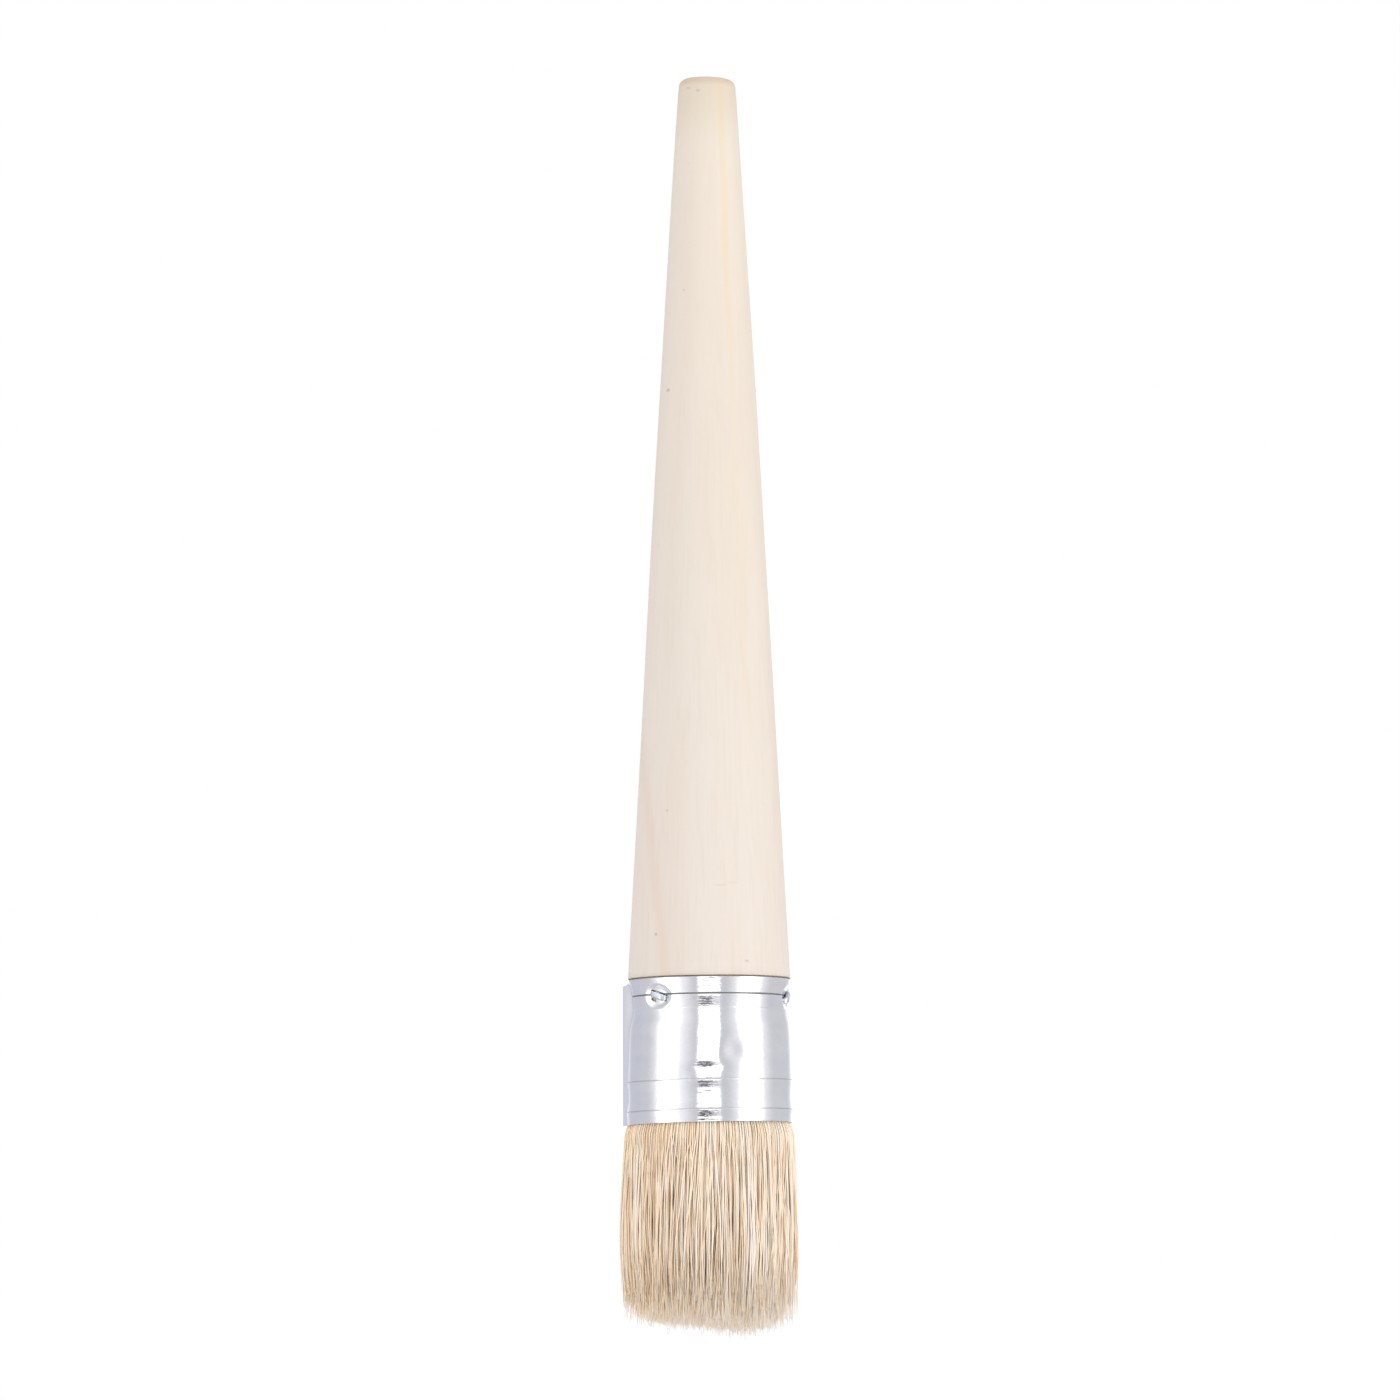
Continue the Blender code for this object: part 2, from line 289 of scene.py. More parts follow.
def near_spot(graph, place, spot, size):
    """1 at a spot on the surface, falling to 0 at its half extents."""
    offset = graph.vector("SUBTRACT", place, spot).outputs[0]
    shares = graph.vector("DIVIDE", offset, size).outputs[0]
    reach = graph.vector("LENGTH", shares).outputs["Value"]
    return graph.step(reach, SPECK_CORE, 1.0, 1.0, 0.0)


def wood():
    """Pale, fine-grained wood, sanded and unvarnished, with faint growth bands and blemishes."""
    made, graph, shader, place = new_material("pale_wood")
    x, y, z = graph.parts(place)
    bands = graph.noise(place, BAND_SCALE, detail=2.0, distortion=0.4)
    fibre = graph.noise(place, FIBRE_SCALE, roughness=0.6)
    mottle = graph.noise(place, MOTTLE_SCALE, roughness=0.6)
    colour = graph.mix(graph.step(bands, 0.35, 0.68), WOOD_COLOUR, BAND_COLOUR)
    colour = graph.mix(graph.step(mottle, 0.3, 0.75, to_high=0.35), colour, MOTTLE_COLOUR)
    colour = graph.mix(graph.step(fibre, 0.45, 0.8, to_high=0.3), colour, FIBRE_COLOUR)
    colour = graph.mix(graph.step(z, -60 * MM, 80 * MM, to_high=0.55), colour, YELLOWED_COLOUR)

    # A yellow vein runs down the front and fades, and lower down a pink one sets in at its left
    on_front = graph.step(y, -0.5 * MM, -3 * MM)

    def streak(middle, half_width):
        """1 on a line down the front, falling to 0 beside it."""
        across = graph.step(graph.gap(x, middle), half_width, STREAK_CORE)
        return graph.product(across, on_front)

    wander = graph.noise(place, VEIN_WANDER_SCALE, detail=2.0)
    middle = graph.total(graph.product(z, VEIN_SLOPE), graph.product(wander, VEIN_WANDER))
    vein = streak(graph.total(middle, VEIN_X), VEIN_HALF_WIDTH)
    faint = graph.step(z, -30 * MM, 0.0, to_high=0.16)
    clear = graph.step(z, 30 * MM, 70 * MM, to_high=0.4)
    colour = graph.mix(graph.product(vein, graph.total(faint, clear)), colour, VEIN_COLOUR)
    pink = streak(graph.total(graph.product(z, PINK_SLOPE), PINK_X), PINK_HALF_WIDTH)
    pink = graph.product(pink, graph.step(z, 10 * MM, -35 * MM))
    colour = graph.mix(graph.product(pink, PINK_STRENGTH), colour, PINK_COLOUR)

    for spot, size, strength in SPECKS:
        near = near_spot(graph, place, metres(spot), metres(size))
        colour = graph.mix(graph.product(near, strength), colour, SPECK_COLOUR)
    pores = graph.noise(place, PORE_SCALE, detail=2.0)
    colour = graph.mix(graph.step(pores, 0.74, 0.82, to_high=0.25), colour, PORE_COLOUR)

    # The wood gets darker towards the butt, and darker still on its end grain. Painted shade darkens
    # it just above the rim, where it meets the tin.
    towards_butt = graph.step(z, Z_BUTT - 14 * MM, Z_BUTT - 2 * MM, to_high=0.55)
    colour = graph.mix(towards_butt, colour, BUTT_DARKER_COLOUR)
    end_grain = graph.step(z, Z_BUTT - 2.2 * MM, Z_BUTT - 0.4 * MM, to_high=0.85)
    colour = graph.mix(end_grain, colour, END_GRAIN_COLOUR)
    # Painted shade where the wood meets the rim
    at_rim = graph.step(z, Z_RIM + 1.0 * MM, Z_RIM)
    colour = graph.mix(graph.product(at_rim, RIM_SHADE_STRENGTH), colour, RIM_SHADE_COLOUR)
    graph.feed(shader.inputs["Base Color"], colour)
    graph.feed(shader.inputs["Roughness"], graph.step(mottle, 0.2, 0.8, 0.5, 0.62))
    graph.feed(shader.inputs["Specular IOR Level"], 0.35)
    height = graph.total(fibre, graph.product(pores, -0.4))
    graph.feed(shader.inputs["Normal"], graph.bump(height, 0.03 * MM, 0.5))
    return made


# Handle

BUTT_RADIUS = 5.05 * MM
BUTT_ROUNDING = 1.65 * MM
BUTT_SLOPE = 0.02  # the butt isn't cut quite square
BUTT_SINK = 0.2 * MM  # keeps its higher side inside the CAD model
BUTT_RINGS = (0.02, 0.3, 0.6, 0.85)  # of the flat end, as shares of its radius
ROUNDING_ROWS = 13
HANDLE_RADIUS = 14.28 * MM
TAPER_POWER = 0.93
TAPER_ROWS = 90
COLUMN_ANGLE = 3.0
WOBBLES = ((0.03 * MM, 2, 60), (0.02 * MM, 3, -95))  # size, waves round it, radians per metre
WOBBLE_START = 4 * MM
SHOULDER_ROUNDING = 0.15 * MM
RIM_GAP = 0.18 * MM  # between the wood's shoulder and the tin
NECK_ROOM = 0.35 * MM  # between the wood and the inside of the rim
NECK_DEPTH = 0.1 * MM  # where the neck ends below the rim, and where the tenon starts
TENON_DEPTH = 1.0 * MM
TENON_RADIUS = 13.05 * MM
TENON_CHAMFER = 1.0 * MM
BUTT_FADE = 3 * MM  # how far the butt's slope reaches, and the rim's tilt
RIM_FADE = 4 * MM


def handle():
    """The taper from the butt to the ferrule, and the tenon inside it."""
    corner = BUTT_RADIUS - BUTT_ROUNDING
    rows = [(corner * share, Z_BUTT) for share in BUTT_RINGS]
    for turn in np.linspace(90, 0, ROUNDING_ROWS):
        out, up = direction(turn)
        rows.append((corner + BUTT_ROUNDING * out, Z_BUTT - BUTT_ROUNDING * (1 - up)))
    top = Z_BUTT - BUTT_ROUNDING
    bottom = Z_RIM + RIM_GAP + SHOULDER_ROUNDING
    for share in np.linspace(0, 1, TAPER_ROWS)[1:]:
        radius = BUTT_RADIUS + (HANDLE_RADIUS - BUTT_RADIUS) * share**TAPER_POWER
        rows.append((radius, top + (bottom - top) * share))
    for turn in (30, 60, 90):
        out, up = direction(turn)
        radius = HANDLE_RADIUS - SHOULDER_ROUNDING * (1 - out)
        rows.append((radius, bottom - SHOULDER_ROUNDING * up))
    neck = RIM_RADIUS - SHEET - NECK_ROOM
    rows += [(neck, Z_RIM + RIM_GAP), (neck, Z_RIM - NECK_DEPTH)]
    rows += [(TENON_RADIUS, Z_RIM - TENON_DEPTH), (TENON_RADIUS, CAD_TENON_END + TENON_CHAMFER)]
    rows += [(TENON_RADIUS - TENON_CHAMFER, CAD_TENON_END)]
    radii, heights = np.array(rows).T
    angles = np.arange(0, 360, COLUMN_ANGLE)[:, None]
    around = np.radians(angles)
    wobble = sum(
        size * np.sin(around * waves + heights * along) for size, waves, along in WOBBLES
    )
    wobble = wobble * smooth((Z_BUTT - heights) / WOBBLE_START)
    points = turned(angles, radii + wobble, heights)
    near_butt = smooth((points[..., 2] - (Z_BUTT - BUTT_FADE)) / BUTT_FADE)
    points[..., 2] -= (BUTT_SLOPE * points[..., 0] + BUTT_SINK) * near_butt
    near_rim = smooth((Z_RIM + RIM_FADE - points[..., 2]) / RIM_FADE)
    points[..., 2] += RIM_TILT * points[..., 0] * near_rim
    faces = lattice_faces(len(angles), len(rows), rows_close=False)
    made = mesh_object("wooden_handle", points.reshape(-1, 3), faces, [wood()])
    close_ends(made)
    adopt(made, "handle_body", "handle")


# Ferrule. Depths are below its rim.

SHEET = 0.32 * MM
RIM_RADIUS = 14.47 * MM
CREASE_RADIUS = 13.9 * MM
CREASE_DEPTH = 2.95 * MM
CREASE_SINK = 0.16 * MM
CREASE_HALF_WIDTH = 0.2 * MM
BEAD_FALL = 0.17 * MM  # below the crease the tin leans in a little, to a hollow corner
BEAD_START = 3.3 * MM
BEAD_END = 5.3 * MM
BEAD_LIP = 0.07 * MM
BEAD_LIP_LENGTH = 0.18 * MM
SHOULDER_RADIUS = 14.3 * MM
SHOULDER_DEPTH = 8.9 * MM
MOUTH_RADIUS = 14.68 * MM
BODY_POWER = 0.6
STEP_DEPTHS = (17.9 * MM, 23.1 * MM)  # two rolled steps near the mouth
STEP_DOWN = (0.0, 0.22, 1.4, 3.0, 4.9)  # mm below the step's line
STEP_OUT = ((0.0, 0.06, -0.06, -0.13, 0.0), (0.0, 0.06, -0.06, -0.06, 0.0))  # mm
STEP_LINE = 0.03 * MM
STEP_LINE_HALF_WIDTH = 0.16 * MM
RIM_TILT = 0.0067  # the rim and the mouth aren't quite square to the axis
MOUTH_TILT = 0.0194
RIM_LIP = 0.08 * MM  # how far the edges turn in, and how long they take to
RIM_LIP_LENGTH = 0.25 * MM
MOUTH_LIP = 0.1 * MM
MOUTH_LIP_LENGTH = 0.3 * MM
SEAM_RADIUS = 15.22 * MM
SEAM_TOP = (174.5, 183.2)  # the angles that its outer side spans
SEAM_FOOT = (173.6, 190.0)
SEAM_SPREAD = 5000.0  # degrees per metre
SEAM_SPREAD_LIMIT = 1 * MM
SEAM_START = 0.5 * MM
SEAM_CORNER = 0.5 * MM
SEAM_ROUNDED = 0.35  # share of the slope in front of it that is rounded
DIMPLE_HALF_LENGTH = 3.3 * MM
DIMPLE_HALF_HEIGHT = 2.3 * MM
DIMPLE_SINK = 0.42 * MM
DIMPLE_STEEPNESS = 2.2
DENTS = (  # angle, then mm: depth, half width, half height and sink
    (286.6, 12.9, 2.3, 2.2, 0.21),
    (272.8, 12.4, 1.3, 1.2, 0.05),
    (266.8, 15.95, 4.2, 0.95, 0.15),
    (251.0, 17.3, 0.7, 0.5, 0.02),
    (255.0, 17.9, 0.4, 0.4, 0.02),
    (329.5, 23.4, 0.6, 0.15, 0.05),
    (236.0, 19.6, 0.9, 0.4, 0.015),
)
DENT_STEEPNESS = 1.6
ROLLING_WAVE = 0.014 * MM
FINE_ROLLING_WAVE = 0.0016 * MM
FERRULE_ROWS = 76  # even ones, apart from the closer ones where it has detail
INNER_ROW_STEP = 4  # the inside has one row for so many of the outside's
FERRULE_COLUMN_ANGLE = 1.0
SEAM_COLUMN_ANGLE = 0.25
SEAM_COLUMN_MARGIN = 0.4
SEAM_SPREAD_COLUMNS = 5.0
CLOSE_ROWS = ((2.6, 3.35, 0.07), (0.4, 5.9, 0.16))  # mm: from, to, apart
STEP_ROWS = (-0.3, 1.7, 0.1)  # mm below a step's line
SHARP_ANGLE = 50.0

# Staples
STAPLE_DEPTH = 3.25 * MM
STAPLE_ANGLES = {"staple_front": 229.0, "staple_right": 350.0, "staple_back": 110.0}
STAPLE_TILTS = {"staple_front": -16.0, "staple_right": 28.0, "staple_back": 9.0}
CROWN_LENGTH = 3.6 * MM
CROWN_RADIUS = 14.35 * MM
WIRE_WIDTH = 1.0 * MM
WIRE_THICKNESS = 0.75 * MM
WIRE_BEND = 0.25 * MM
WIRE_CORNER = 0.22 * MM
BEND_ROWS = 9
LEG_LENGTH = 5.5 * MM
LEG_POINT = 0.8 * MM
LEG_POINT_SHARE = 0.15  # of the wire's thickness
HOLE_ROOM = 0.09 * MM
CUTTER_ROOM = 2 * MM  # how far a cutter sticks out of the tin

# Cuts at the front staple: offsets along its crown and across it, half length and half height
NOTCH = (-1.0 * MM, -0.84 * MM, 0.62 * MM, 0.36 * MM)
SLITS = (
    (-0.1 * MM, 0.66 * MM, 1.5 * MM, 0.09 * MM),
    (0.35 * MM, -0.62 * MM, 0.7 * MM, 0.055 * MM),
)

# Tinplate's looks
TIN_COLOUR = rgb(0.885, 0.885, 0.905)
TIN_PATCH_COLOUR = rgb(0.83, 0.835, 0.865)
TIN_SPOT_COLOUR = rgb(0.55, 0.54, 0.55)
# Painted sheen of the seam's outer side
SEAM_SHEEN_COLOUR = rgb(0.96, 0.97, 1.0)
# Colour of the painted shade in the tin's crease, steps and edges
SHADE_LINE_COLOUR = rgb(0.29, 0.28, 0.27)
LINE_SCALE = (60, 60, 5200)
PATCH_SCALE = (160, 160, 420)
SPOT_SCALE = (1300, 1300, 1300)
SCRATCH_SCALE = (90, 90, 1900)
RIPPLE_SCALE = (800, 800, 4200)
ROLLED_SCALE = (900, 900, 1900)
SCRATCH_DEPTH = 0.0022 * MM
SCRATCH_WEIGHT = 1.5  # of the long scratches and of the ripple, beside the fine lines
RIPPLE_WEIGHT = 16.0
ROLLER_MARK = 0.012 * MM
# Lines of painted shade round the tin
SHADE_LINES = (  # depth, half width in mm, strength
    (0.0, 0.16, 0.9),
    (CREASE_DEPTH, 0.2, 0.95),
    (STEP_DEPTHS[0], 0.17, 0.5),
    (STEP_DEPTHS[1], 0.17, 0.5),
    (FERRULE_LENGTH, 0.12, 0.6),
)
ROLLED_SLOPES = (  # depth of the middle and half height
    (4.35 * MM, 1.2 * MM),
    (15.9 * MM, 0.7 * MM),
    (STEP_DEPTHS[0] + 0.8 * MM, 0.75 * MM),
    (STEP_DEPTHS[1] + 0.8 * MM, 0.75 * MM),
)


def tinplate():
    """Bright tin with fine scratches and ripples round it, duller patches and small spots."""
    made, graph, shader, place = new_material("tinplate")
    lines = graph.noise(place, LINE_SCALE, detail=2.0, roughness=0.6)
    patches = graph.noise(place, PATCH_SCALE, roughness=0.55)
    spots = graph.noise(place, SPOT_SCALE, detail=2.0)
    scratches = graph.noise(place, SCRATCH_SCALE, detail=4.0, roughness=0.7)
    ripple = graph.noise(place, RIPPLE_SCALE, detail=2.0)
    colour = graph.mix(graph.step(patches, 0.35, 0.75), TIN_COLOUR, TIN_PATCH_COLOUR)
    colour = graph.mix(graph.step(spots, 0.72, 0.8, to_high=0.4), colour, TIN_SPOT_COLOUR)
    x, y, z = graph.parts(place)

    # Painted sheen: the seam's outer side gets a paler tin colour, so it reflects brighter than the
    # rest
    right_of_seam = graph.step(x, -13.3 * MM, -13.0 * MM)
    across_seam = graph.math("ABSOLUTE", graph.total(y, 0.5 * MM))
    beside_seam = graph.step(across_seam, 2.3 * MM, 2.7 * MM)
    off_seam = graph.math("MAXIMUM", right_of_seam, beside_seam)
    colour = graph.mix(off_seam, SEAM_SHEEN_COLOUR, colour)

    # Painted shade lies in dark lines along the edges, the crease and the steps, and the tin is
    # duller there too
    shade_line = 0.0
    for depth, half_width, strength in SHADE_LINES:
        height = graph.math("SUBTRACT", z, graph.product(x, float(sheet_tilt(depth))))
        off = graph.gap(height, Z_RIM - depth)
        line = graph.step(off, half_width * MM, 0.2 * half_width * MM, to_high=strength)
        shade_line = graph.math("MAXIMUM", shade_line, graph.product(line, off_seam))
    colour = graph.mix(shade_line, colour, SHADE_LINE_COLOUR)
    graph.feed(shader.inputs["Base Color"], colour)
    graph.feed(shader.inputs["Metallic"], 1.0)
    dull = graph.step(patches, 0.3, 0.8, 0.06, 0.13)
    dull = graph.total(dull, graph.step(scratches, 0.6, 0.75, to_high=0.08))
    dull = graph.total(dull, graph.product(shade_line, 0.6))
    graph.feed(shader.inputs["Roughness"], dull)
    height = graph.total(lines, graph.product(scratches, SCRATCH_WEIGHT))
    height = graph.total(height, graph.product(ripple, RIPPLE_WEIGHT))
    scratched = graph.bump(height, SCRATCH_DEPTH, 0.6)

    # The roller left the slopes that lean downwards uneven
    rolled = graph.noise(place, ROLLED_SCALE, roughness=0.6)
    on_slope = None
    for depth, half in ROLLED_SLOPES:
        band = graph.step(graph.gap(z, Z_RIM - depth), half, 0.7 * half)
        on_slope = band if on_slope is None else graph.math("MAXIMUM", on_slope, band)
    marked = graph.bump(graph.product(rolled, on_slope), ROLLER_MARK, 1.0, under=scratched)
    graph.feed(shader.inputs["Normal"], marked)
    return made


def sheet_radius(depth):
    """Outer radius of the tin at depths below the rim, apart from its seam, dimples and dents."""
    flare = RIM_RADIUS + (CREASE_RADIUS - RIM_RADIUS) * depth / CREASE_DEPTH
    bead = CREASE_RADIUS - BEAD_FALL * np.clip((depth - BEAD_START) / (BEAD_END - BEAD_START), 0, 1)
    corner = CREASE_RADIUS - BEAD_FALL + BEAD_LIP * smooth((depth - BEAD_END) / BEAD_LIP_LENGTH)
    shoulder = corner + (SHOULDER_RADIUS - corner) * smooth(
        (depth - BEAD_END) / (SHOULDER_DEPTH - BEAD_END)
    )
    along_body = np.clip((depth - SHOULDER_DEPTH) / (FERRULE_LENGTH - SHOULDER_DEPTH), 0, 1)
    body = SHOULDER_RADIUS + (MOUTH_RADIUS - SHOULDER_RADIUS) * along_body**BODY_POWER
    radius = np.select(
        [depth <= CREASE_DEPTH, depth <= BEAD_END, depth <= SHOULDER_DEPTH],
        [flare, bead, shoulder],
        body,
    )
    radius = radius - CREASE_SINK * smooth(1 - np.abs(depth - CREASE_DEPTH) / CREASE_HALF_WIDTH)
    for step, out in zip(STEP_DEPTHS, STEP_OUT):
        radius = radius + MM * np.interp((depth - step) / MM, STEP_DOWN, out)
        radius = radius - STEP_LINE * smooth(1 - np.abs(depth - step) / STEP_LINE_HALF_WIDTH)
    return radius


def sheet_tilt(depth):
    """Slope of a line round the tin at a depth: the sheet was rolled a little askew."""
    return RIM_TILT + (MOUTH_TILT - RIM_TILT) * smooth(depth / FERRULE_LENGTH)


def sheet_marks(angles, depths):
    """How far the tin is pushed in by its dimples, its dents and the uneven rolling."""
    sunk = np.zeros(np.broadcast(angles, depths).shape)
    for staple_angle in STAPLE_ANGLES.values():
        around = np.radians(angle_between(angles, staple_angle))
        along = around * CREASE_RADIUS / DIMPLE_HALF_LENGTH
        off = np.hypot(along, (depths - STAPLE_DEPTH) / DIMPLE_HALF_HEIGHT)
        sunk += DIMPLE_SINK * smooth(DIMPLE_STEEPNESS * (1 - off))
    for angle, *sizes in DENTS:
        depth, half_width, half_height, sink = metres(sizes)
        along = np.radians(angle_between(angles, angle)) * SHOULDER_RADIUS / half_width
        off = along**2 + ((depths - depth) / half_height) ** 2
        sunk += sink * np.exp(-DENT_STEEPNESS * off)
    around = np.radians(angles)
    wave = np.sin(around * 3 + 260 * depths + 0.8) + 0.5 * np.sin(around * 7 - 430 * depths)
    fine_wave = np.sin(around * 19 + 900 * depths) * np.sin(around * 5 - 700 * depths)
    return sunk + ROLLING_WAVE * wave + FINE_ROLLING_WAVE * fine_wave


def seam_rise(angles, depths, radii):
    """Share of the lock seam's height: 0 beside it, 1 on it. It spreads where the tin is narrow."""
    spread = SEAM_SPREAD * np.clip(SHOULDER_RADIUS - radii, 0, SEAM_SPREAD_LIMIT)
    foot = SEAM_FOOT[1] + spread
    front = np.clip((foot - angles) / (foot - SEAM_TOP[1]), 0, 1)
    front = SEAM_ROUNDED * smooth(front) + (1 - SEAM_ROUNDED) * front
    back = np.clip((angles - SEAM_FOOT[0]) / (SEAM_TOP[0] - SEAM_FOOT[0]), 0, 1)
    start = np.clip((depths - SEAM_START) / SEAM_CORNER, 0, 1)
    return front * back * start


def ferrule_points():
    """The sheet's angles, its outer radii and then its inner ones, and their depths."""
    angles = set(np.arange(0, 360, FERRULE_COLUMN_ANGLE))
    for low, high in (
        (SEAM_FOOT[0] - SEAM_COLUMN_MARGIN, SEAM_TOP[0] + SEAM_COLUMN_MARGIN),
        (SEAM_TOP[1] - SEAM_COLUMN_MARGIN, SEAM_FOOT[1] + SEAM_SPREAD_COLUMNS),
    ):
        angles |= set(np.round(np.arange(low, high, SEAM_COLUMN_ANGLE), 3))
    angles = np.array(sorted(angles))[:, None]
    depths = set(np.round(np.linspace(0, FERRULE_LENGTH / MM, FERRULE_ROWS), 4))
    for rows in CLOSE_ROWS:
        depths |= set(np.round(np.arange(*rows), 4))
    for step in STEP_DEPTHS:
        depths |= set(np.round(step / MM + np.arange(*STEP_ROWS), 4))
    depths = np.array(sorted(depth for depth in depths if depth <= FERRULE_LENGTH / MM)) * MM
    lip = RIM_LIP * (1 - smooth(depths / RIM_LIP_LENGTH))
    above_mouth = depths - FERRULE_LENGTH + MOUTH_LIP_LENGTH
    lip = lip + MOUTH_LIP * smooth(above_mouth / MOUTH_LIP_LENGTH)
    plain = sheet_radius(depths) - sheet_marks(angles, depths) - lip
    rise = seam_rise(angles, depths, plain)
    outer = plain + (SEAM_RADIUS - plain) * rise
    inner = (plain - SHEET)[:, ::-INNER_ROW_STEP]
    radii = np.concatenate([outer, inner], axis=1)
    return angles, radii, np.concatenate([depths, depths[::-INNER_ROW_STEP]])


def boxes(places):
    """A cutting tool of separate boxes, each given by the matrix that a unit cube takes."""
    shape = bmesh.new()
    for place in places:
        bmesh.ops.create_cube(shape, size=1.0, matrix=place)
    mesh = bpy.data.meshes.new("cutter")
    shape.to_mesh(mesh)
    shape.free()
    made = bpy.data.objects.new("cutter", mesh)
    bpy.context.scene.collection.objects.link(made)
    return made


def box_at_staple(name, along, up, half_along, half_up):
    """The matrix of a box through the tin, at an offset from the middle of a staple's crown."""
    low = CROWN_RADIUS - LEG_LENGTH
    high = CROWN_RADIUS + CUTTER_ROOM
    place = staple_place(name) @ Matrix.Translation((along, up, (low + high) / 2))
    return place @ Matrix.Diagonal((2 * half_along, 2 * half_up, high - low, 1.0))


def leg_holes():
    """Where the staples' legs go through the tin, with a little room round the wire."""
    leg = (CROWN_LENGTH - WIRE_THICKNESS) / 2
    half_along = WIRE_THICKNESS / 2 + HOLE_ROOM
    half_up = WIRE_WIDTH / 2 + HOLE_ROOM
    return boxes(
        [
            box_at_staple(name, side * leg, 0.0, half_along, half_up)
            for name in STAPLE_ANGLES
            for side in (-1, 1)
        ]
    )


def slipped_notch():
    """The punch slipped under the front staple's left leg, so the wood shows there."""
    return boxes([box_at_staple("staple_front", *NOTCH)])


def slits():
    """The tin is torn along both sides of the front staple's crown, and less so on the lower."""
    return boxes([box_at_staple("staple_front", *slit) for slit in SLITS])


def cut(piece, cutter):
    """Subtracts the cutter from the piece's own mesh, and removes the cutter."""
    modifier = piece.modifiers.new("holes", "BOOLEAN")
    modifier.operation = "DIFFERENCE"
    modifier.solver = "EXACT"
    modifier.object = cutter
    bpy.context.view_layer.update()
    evaluated = piece.evaluated_get(bpy.context.evaluated_depsgraph_get())
    mesh = bpy.data.meshes.new_from_object(evaluated)
    piece.modifiers.remove(modifier)
    old = piece.data
    piece.data = mesh
    bpy.data.meshes.remove(old)
    bpy.data.objects.remove(cutter)


def ferrule():
    """The rolled sheet with its seam, and the holes at its staples."""
    angles, radii, depths = ferrule_points()
    points = turned(angles, radii, Z_RIM - depths)
    points[..., 2] += sheet_tilt(depths) * points[..., 0]
    faces = lattice_faces(len(angles), len(depths), rows_close=True)
    made = mesh_object("tinplate_ferrule", points.reshape(-1, 3), faces, [tinplate()])
    close_ends(made)
    for cutter in (leg_holes, slipped_notch, slits):
        cut(made, cutter())
    made.data.shade_smooth()
    made.data.set_sharp_from_angle(angle=math.radians(SHARP_ANGLE))
    adopt(made, "handle_body", "ferrule")


# Staples

WIRE_COLOUR = rgb(0.73, 0.765, 0.82)
WIRE_DULL_COLOUR = rgb(0.60, 0.63, 0.69)
WIRE_GRAIN_SCALE = (900, 900, 900)


def staple_wire():
    """Drawn steel wire, flattened and galvanised."""
    made, graph, shader, place = new_material("staple_wire")
    grain = graph.noise(place, WIRE_GRAIN_SCALE, roughness=0.6)
    colour = graph.mix(graph.step(grain, 0.3, 0.8), WIRE_COLOUR, WIRE_DULL_COLOUR)
    graph.feed(shader.inputs["Base Color"], colour)
    graph.feed(shader.inputs["Metallic"], 1.0)
    graph.feed(shader.inputs["Roughness"], graph.step(grain, 0.3, 0.8, 0.2, 0.36))
    graph.feed(shader.inputs["Normal"], graph.bump(grain, 0.01 * MM, 0.5))
    return made


def staple_place(name):
    """From the staple's own axes (along its crown, along the brush, outwards) to the brush's."""
    outwards = Vector((*direction(STAPLE_ANGLES[name]), 0.0))
    up = Vector((0.0, 0.0, 1.0))
    axes = Matrix((up.cross(outwards), up, outwards)).transposed().to_4x4()
    axes.translation = up * (Z_RIM - STAPLE_DEPTH)
    return axes @ Matrix.Rotation(math.radians(STAPLE_TILTS[name]), 4, "Z")


def staple_line():
    """Points along the wire's middle, each with its outward direction, in the (along, out) plane."""
    half = (CROWN_LENGTH - WIRE_THICKNESS) / 2
    bend = WIRE_BEND + WIRE_THICKNESS / 2
    crown = CROWN_RADIUS - WIRE_THICKNESS / 2
    tip = CROWN_RADIUS - LEG_LENGTH
    line = [((-half, tip), (-1, 0)), ((-half, tip + LEG_POINT), (-1, 0))]
    for side, low, high in ((-1, 180, 90), (1, 90, 0)):
        for turn in np.linspace(low, high, BEND_ROWS):
            out = direction(turn)
            centre = (side * (half - bend), crown - bend)
            line.append(((centre[0] + out[0] * bend, centre[1] + out[1] * bend), out))
    return line + [((half, tip + LEG_POINT), (1, 0)), ((half, tip), (1, 0))]


def wire_section():
    """A flat wire's section with round corners, as (across, outwards) points."""
    points = []
    for side, out, start in ((1, 1, 0), (-1, 1, 90), (-1, -1, 180), (1, -1, 270)):
        for turn in (0, 30, 60, 90):
            ray = direction(start + turn)
            across = side * (WIRE_WIDTH / 2 - WIRE_CORNER) + WIRE_CORNER * ray[0]
            points.append((across, out * (WIRE_THICKNESS / 2 - WIRE_CORNER) + WIRE_CORNER * ray[1]))
    return points


def staple(name, finish):
    """A staple of flat wire: two pointed legs and a crown."""
    section = wire_section()
    place = staple_place(name)
    line = staple_line()
    points = []
    for i, ((along, out), (out_along, out_out)) in enumerate(line):
        thin = LEG_POINT_SHARE if i in (0, len(line) - 1) else 1.0
        for across, rise in section:
            point = (along + out_along * rise * thin, across, out + out_out * rise * thin)
            points.append(place @ Vector(point))
    points = np.array(points).reshape(len(line), len(section), 3).transpose(1, 0, 2)
    faces = lattice_faces(len(section), len(line), rows_close=False)
    made = mesh_object(f"{name}_wire", points.reshape(-1, 3), faces, [finish])
    close_ends(made)
    adopt(made, "handle_body", name)


# Resin

RESIN_COLOUR = rgb(0.46, 0.29, 0.12)
RESIN_CLOUD_COLOUR = rgb(0.27, 0.15, 0.06)
RESIN_CLOUD_SCALE = (500, 500, 500)
CUP_WALL = 0.6 * MM
CUP_FLOOR = 3.0 * MM
CUP_ROUNDING = 0.4 * MM
CUP_EDGE = 0.2 * MM  # how far its wall's edge slopes on each side
CUP_FILLET = 0.3 * MM
CUP_MIDDLE = 0.02  # share of the radius where its flat ends start
CUP_COLUMN_ANGLE = 5.0


